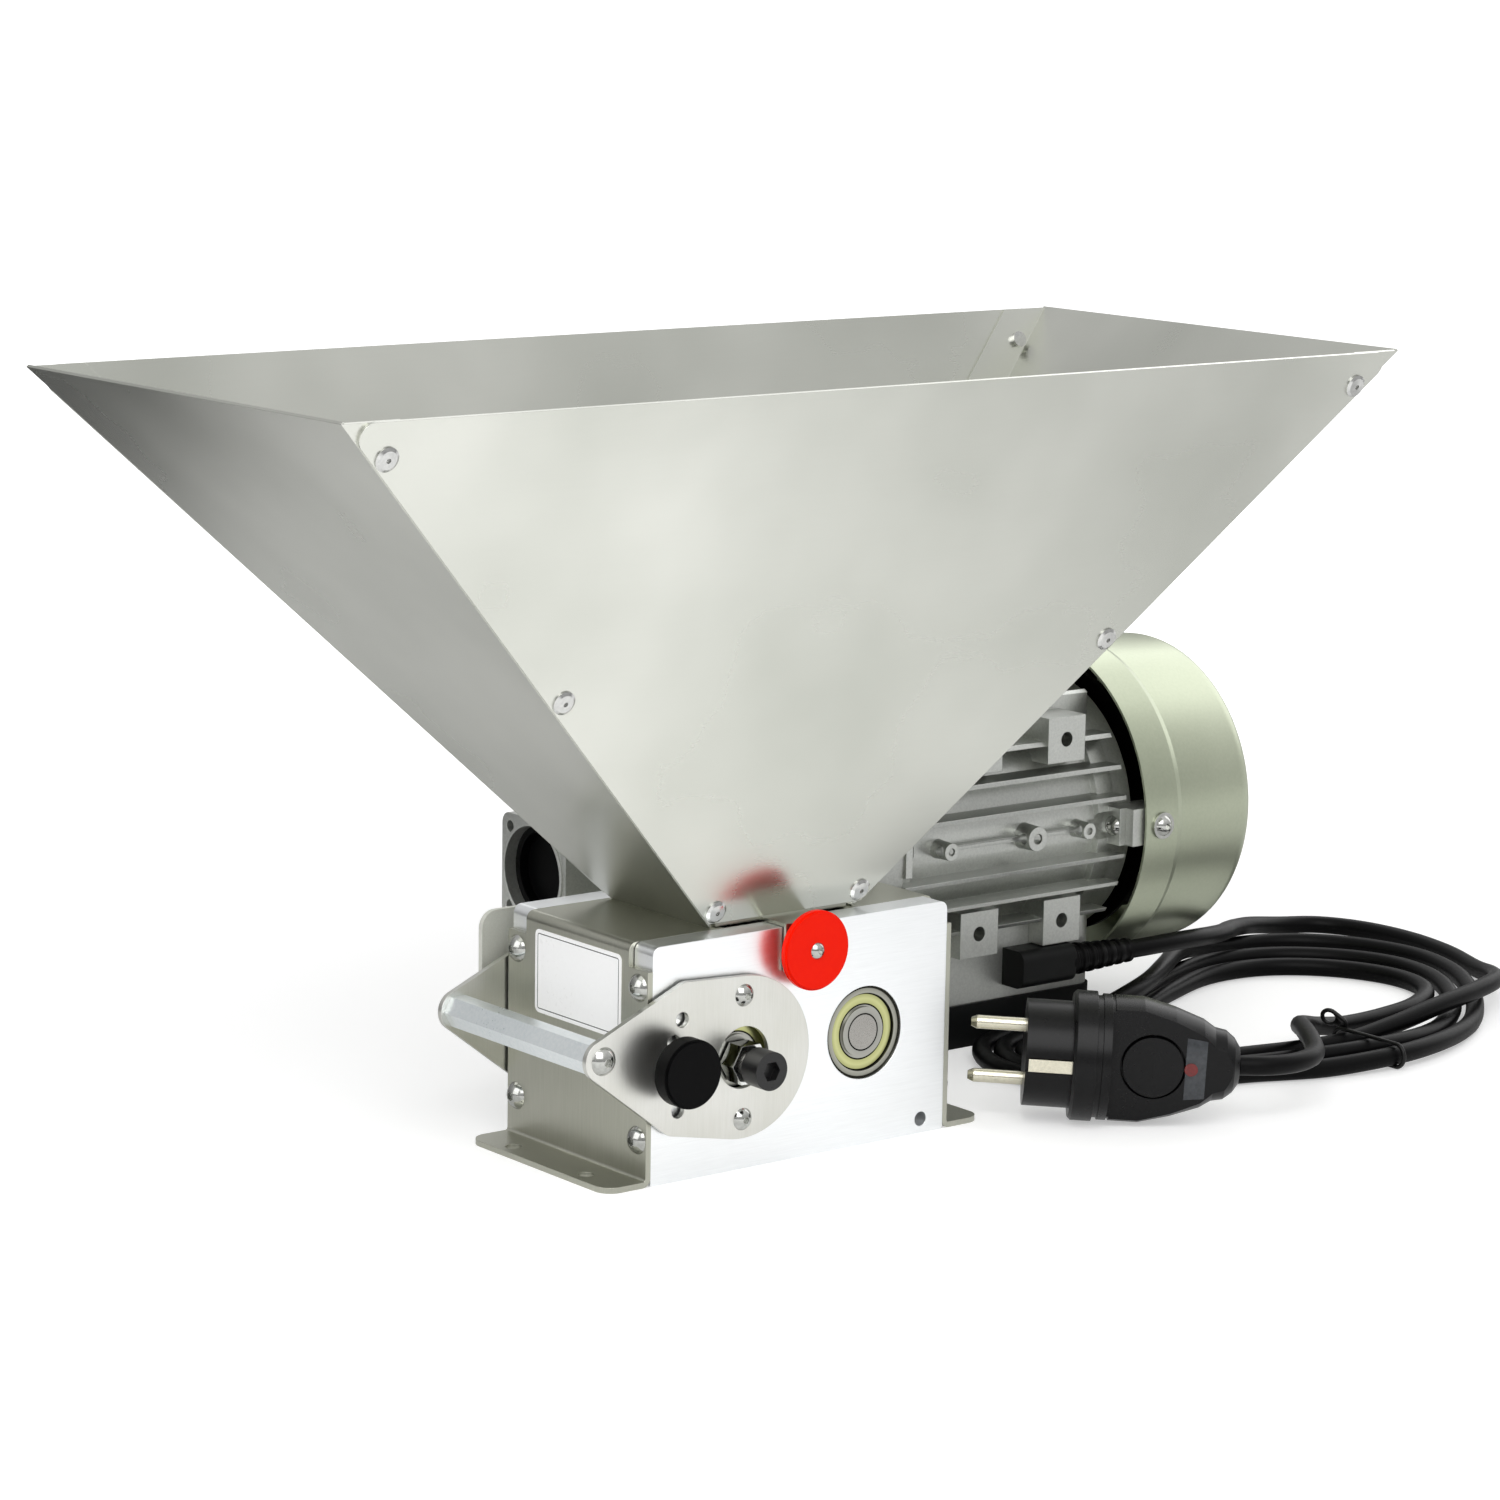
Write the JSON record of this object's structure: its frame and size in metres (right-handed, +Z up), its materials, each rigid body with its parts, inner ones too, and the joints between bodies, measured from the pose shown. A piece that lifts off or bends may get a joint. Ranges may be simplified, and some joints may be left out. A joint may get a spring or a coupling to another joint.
{
  "type": "grain mill",
  "caption": "Two-roller grain mill with a wide sheet-metal hopper, a lever that sets the roller gap, and a worm-gear motor with cord and plug",
  "frame": {"origin": "centre of the four foot holes, on the surface the mill stands on, which is also under the middle of the mill body", "axes": "+X along the motor axis away from the gap lever, +Y from the front plate with the red gate knob to the gearbox, +Z up to the hopper"},
  "size_m": [0.6145, 0.251, 0.2647],
  "materials": {
    "machined_aluminium": "brushed natural aluminium plate",
    "stainless_sheet": "satin stainless sheet",
    "steel_fasteners": "bright stainless fasteners",
    "rivet_aluminium": "plain aluminium rivets",
    "hardened_steel": "machined and hardened steel",
    "ground_steel": "ground steel",
    "zinc_plated_steel": "bright zinc plated",
    "chrome_steel": "nickel plated",
    "blackened_steel": "black oxide",
    "black_plastic": "black moulded plastic",
    "red_plastic": "glossy red plastic",
    "cast_aluminium": "die-cast aluminium",
    "bronze": "machined bronze",
    "lamination_steel": "laminated steel and copper",
    "olive_painted_sheet": "olive zinc-coated sheet",
    "black_rubber": "matt black rubber",
    "nickel_brass": "nickel-plated brass"
  },
  "bodies": {
    "mill_frame": {"front_plate": "machined_aluminium", "rear_plate": "machined_aluminium", "left_panel": "stainless_sheet", "right_panel": "stainless_sheet", "panel_screws": "steel_fasteners", "hopper_front_wall": "stainless_sheet", "hopper_rear_wall": "stainless_sheet", "hopper_left_wall": "stainless_sheet", "hopper_right_wall": "stainless_sheet", "hopper_rivets": "rivet_aluminium", "drive_bearings": "ground_steel", "mount_plate": "stainless_sheet", "mount_spacers": "zinc_plated_steel", "mount_screws": "steel_fasteners", "gear_housing": "cast_aluminium", "gear_cover": "cast_aluminium", "gear_cover_screws": "steel_fasteners", "gear_cap": "black_rubber", "motor_frame": "cast_aluminium", "stator": "lamination_steel", "motor_bearings": "ground_steel", "front_shield": "cast_aluminium", "rear_shield": "cast_aluminium", "shield_bolts": "steel_fasteners", "fan_cover": "olive_painted_sheet", "fan_cover_screws": "steel_fasteners", "terminal_box": "cast_aluminium", "terminal_lid": "black_plastic", "cable_gland": "black_plastic", "power_cord": "black_rubber", "cord_tie": "black_plastic", "plug_body": "black_rubber", "plug_contacts": "nickel_brass", "plug_lamp": "red_plastic"},
    "drive": {"drive_roller": "hardened_steel", "drive_shaft": "ground_steel", "worm_wheel": "bronze"},
    "motor_rotor": {"rotor": "lamination_steel", "worm": "hardened_steel", "fan": "black_plastic"},
    "gap_lever": {"front_bush": "stainless_sheet", "rear_bush": "stainless_sheet", "idler_bearings": "ground_steel", "front_lever": "stainless_sheet", "rear_lever": "stainless_sheet", "lever_screws": "steel_fasteners", "handle_bar": "zinc_plated_steel", "handle_screws": "steel_fasteners"},
    "idler": {"idler_roller": "hardened_steel", "idler_shaft": "ground_steel", "shaft_nut": "chrome_steel", "shaft_cap": "blackened_steel"},
    "lever_lock": {"lock_knob": "black_plastic", "lock_screw": "steel_fasteners"},
    "gate": {"feed_gate": "stainless_sheet", "gate_spacer": "black_plastic", "gate_knob": "red_plastic", "gate_screw": "steel_fasteners"},
    "plug_rocker": {"plug_switch": "black_plastic"}
  },
  "joints": [
    {"name": "drive_spin", "type": "hinge", "parent": "mill_frame", "child": "drive", "pos_m": [0.027, 0, 0.039], "axis": [0, 1, 0], "continuous": true},
    {"name": "rotor_spin", "type": "hinge", "parent": "mill_frame", "child": "motor_rotor", "pos_m": [0.15, 0.083, 0.078], "axis": [1, 0, 0], "continuous": true},
    {"name": "gap_turn", "type": "hinge", "parent": "mill_frame", "child": "gap_lever", "pos_m": [-0.027, 0, 0.039], "axis": [0, 1, 0], "range_deg": [-30, 30]},
    {"name": "idler_spin", "type": "hinge", "parent": "gap_lever", "child": "idler", "pos_m": [-0.027, 0, 0.0374], "axis": [0, 1, 0], "continuous": true},
    {"name": "lock_turn", "type": "hinge", "parent": "gap_lever", "child": "lever_lock", "pos_m": [-0.05727, -0.05, 0.04032], "axis": [0, 1, 0], "range_deg": [0, 360]},
    {"name": "gate_slide", "type": "slide", "parent": "mill_frame", "child": "gate", "axis": [0, -1, 0], "range_m": [0, 0.05]},
    {"name": "rocker_tilt", "type": "hinge", "parent": "mill_frame", "child": "plug_rocker", "pos_m": [0.12348, -0.07829, 0.02171], "axis": [0.0334, -0.028, 0.999], "range_deg": [-5, 5]}
  ],
  "couplings": [
    {"joint": "rotor_spin", "follows": "drive_spin", "ratio": 7.5}
  ]
}
